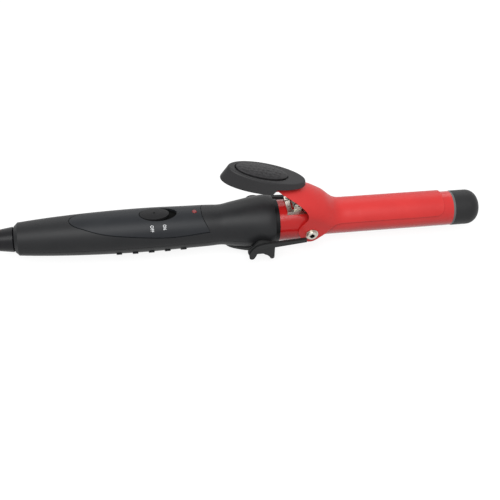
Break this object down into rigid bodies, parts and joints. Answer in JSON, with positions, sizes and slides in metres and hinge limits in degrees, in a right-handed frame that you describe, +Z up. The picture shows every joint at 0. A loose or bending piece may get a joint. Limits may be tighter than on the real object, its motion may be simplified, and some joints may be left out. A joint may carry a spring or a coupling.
{
  "type": "curling iron",
  "caption": "Round-handled curling iron with a sprung clamp and thumb pad over a slim barrel, a fold-out stand, a sliding power switch and a swivelling cord inlet.",
  "frame": {"origin": "centre of the cord inlet's mouth, on the common axis of the handle and the barrel", "axes": "+X along the handle and barrel axis towards the barrel's tip, +Z up through the switch and the thumb pad, +Y across, which leaves the two pivot screws on a line along Y"},
  "size_m": [0.352, 0.049, 0.0777],
  "materials": {
    "black_shell": "soft-touch matt charcoal black",
    "black_panel": "matt charcoal black, a shade darker than the shells",
    "switch_plastic": "satin black",
    "inner_plastic": "plain dark grey",
    "tip_plastic": "satin black, heat resistant",
    "board": "brown phenolic board",
    "components": "dark component bodies",
    "red_lens": "clear dark red",
    "lamp": "clear red epoxy",
    "collar_plastic": "semi-gloss black",
    "red_metal": "satin red heat-proof coating",
    "bright_metal": "nickel plate",
    "steel": "plain spring and screw steel",
    "brass": "bare brass",
    "aluminium": "mill finish",
    "ceramic": "opaque fired ceramic",
    "insulation": "amber polyimide",
    "wire": "white silicone insulation",
    "pad_rubber": "matt black heat-proof pad",
    "stand_plastic": "matt black heat-proof plastic"
  },
  "bodies": {
    "handle": {"upper_handle_shell": "black_shell", "lower_handle_shell": "black_shell", "control_panel": "black_panel", "switch_housing": "inner_plastic", "brush_holder": "inner_plastic", "spring_bush": "inner_plastic", "tip_plug": "inner_plastic", "cool_tip": "tip_plastic", "circuit_board": "board", "board_components": "components", "indicator_lens": "red_lens", "led_lamp": "lamp", "front_ring": "collar_plastic", "barrel_tube": "red_metal", "base_sleeve": "red_metal", "pivot_screws": "bright_metal", "spring_bracket": "bright_metal", "spring_pin": "bright_metal", "bracket_rivets": "bright_metal", "clamp_spring": "steel", "handle_screws": "steel", "board_screws": "steel", "heater_leaf_spring": "steel", "pivot_nuts": "steel", "thermal_fuse": "steel", "swivel_brushes": "brass", "upper_heater_block": "aluminium", "lower_heater_block": "aluminium", "electrode_plates": "aluminium", "ptc_chips": "ceramic", "ceramic_spacer": "ceramic", "insulation_plates": "insulation", "insulation_film": "insulation", "mains_leads": "wire", "heater_leads": "wire"},
    "clamp": {"clamp": "red_metal", "thumb_pad": "pad_rubber", "thumb_pad_insert": "pad_rubber", "pad_rivets": "bright_metal"},
    "stand": {"stand": "stand_plastic", "stand_hinge_tabs": "bright_metal", "tab_rivets": "bright_metal"},
    "swivel": {"swivel_collar": "collar_plastic", "swivel_rings": "brass"},
    "switch": {"switch_knob": "switch_plastic", "switch_slider": "inner_plastic"}
  },
  "joints": [
    {"name": "clamp_hinge", "type": "hinge", "parent": "handle", "child": "clamp", "pos_m": [0.222, 0, 0], "axis": [0, -1, 0], "range_deg": [0, 22], "stiffness_Nm_per_rad": 0.6, "springref_deg": -28.65, "deforming": ["clamp_spring"]},
    {"name": "stand_hinge", "type": "hinge", "parent": "handle", "child": "stand", "pos_m": [0.222, 0, 0], "axis": [0, -1, 0], "range_deg": [0, 90]},
    {"name": "switch_slide", "type": "slide", "parent": "handle", "child": "switch", "axis": [1, 0, 0], "range_m": [0, 0.005]},
    {"name": "cord_swivel", "type": "hinge", "parent": "handle", "child": "swivel", "pos_m": [0, 0, 0], "axis": [1, 0, 0], "continuous": true}
  ]
}
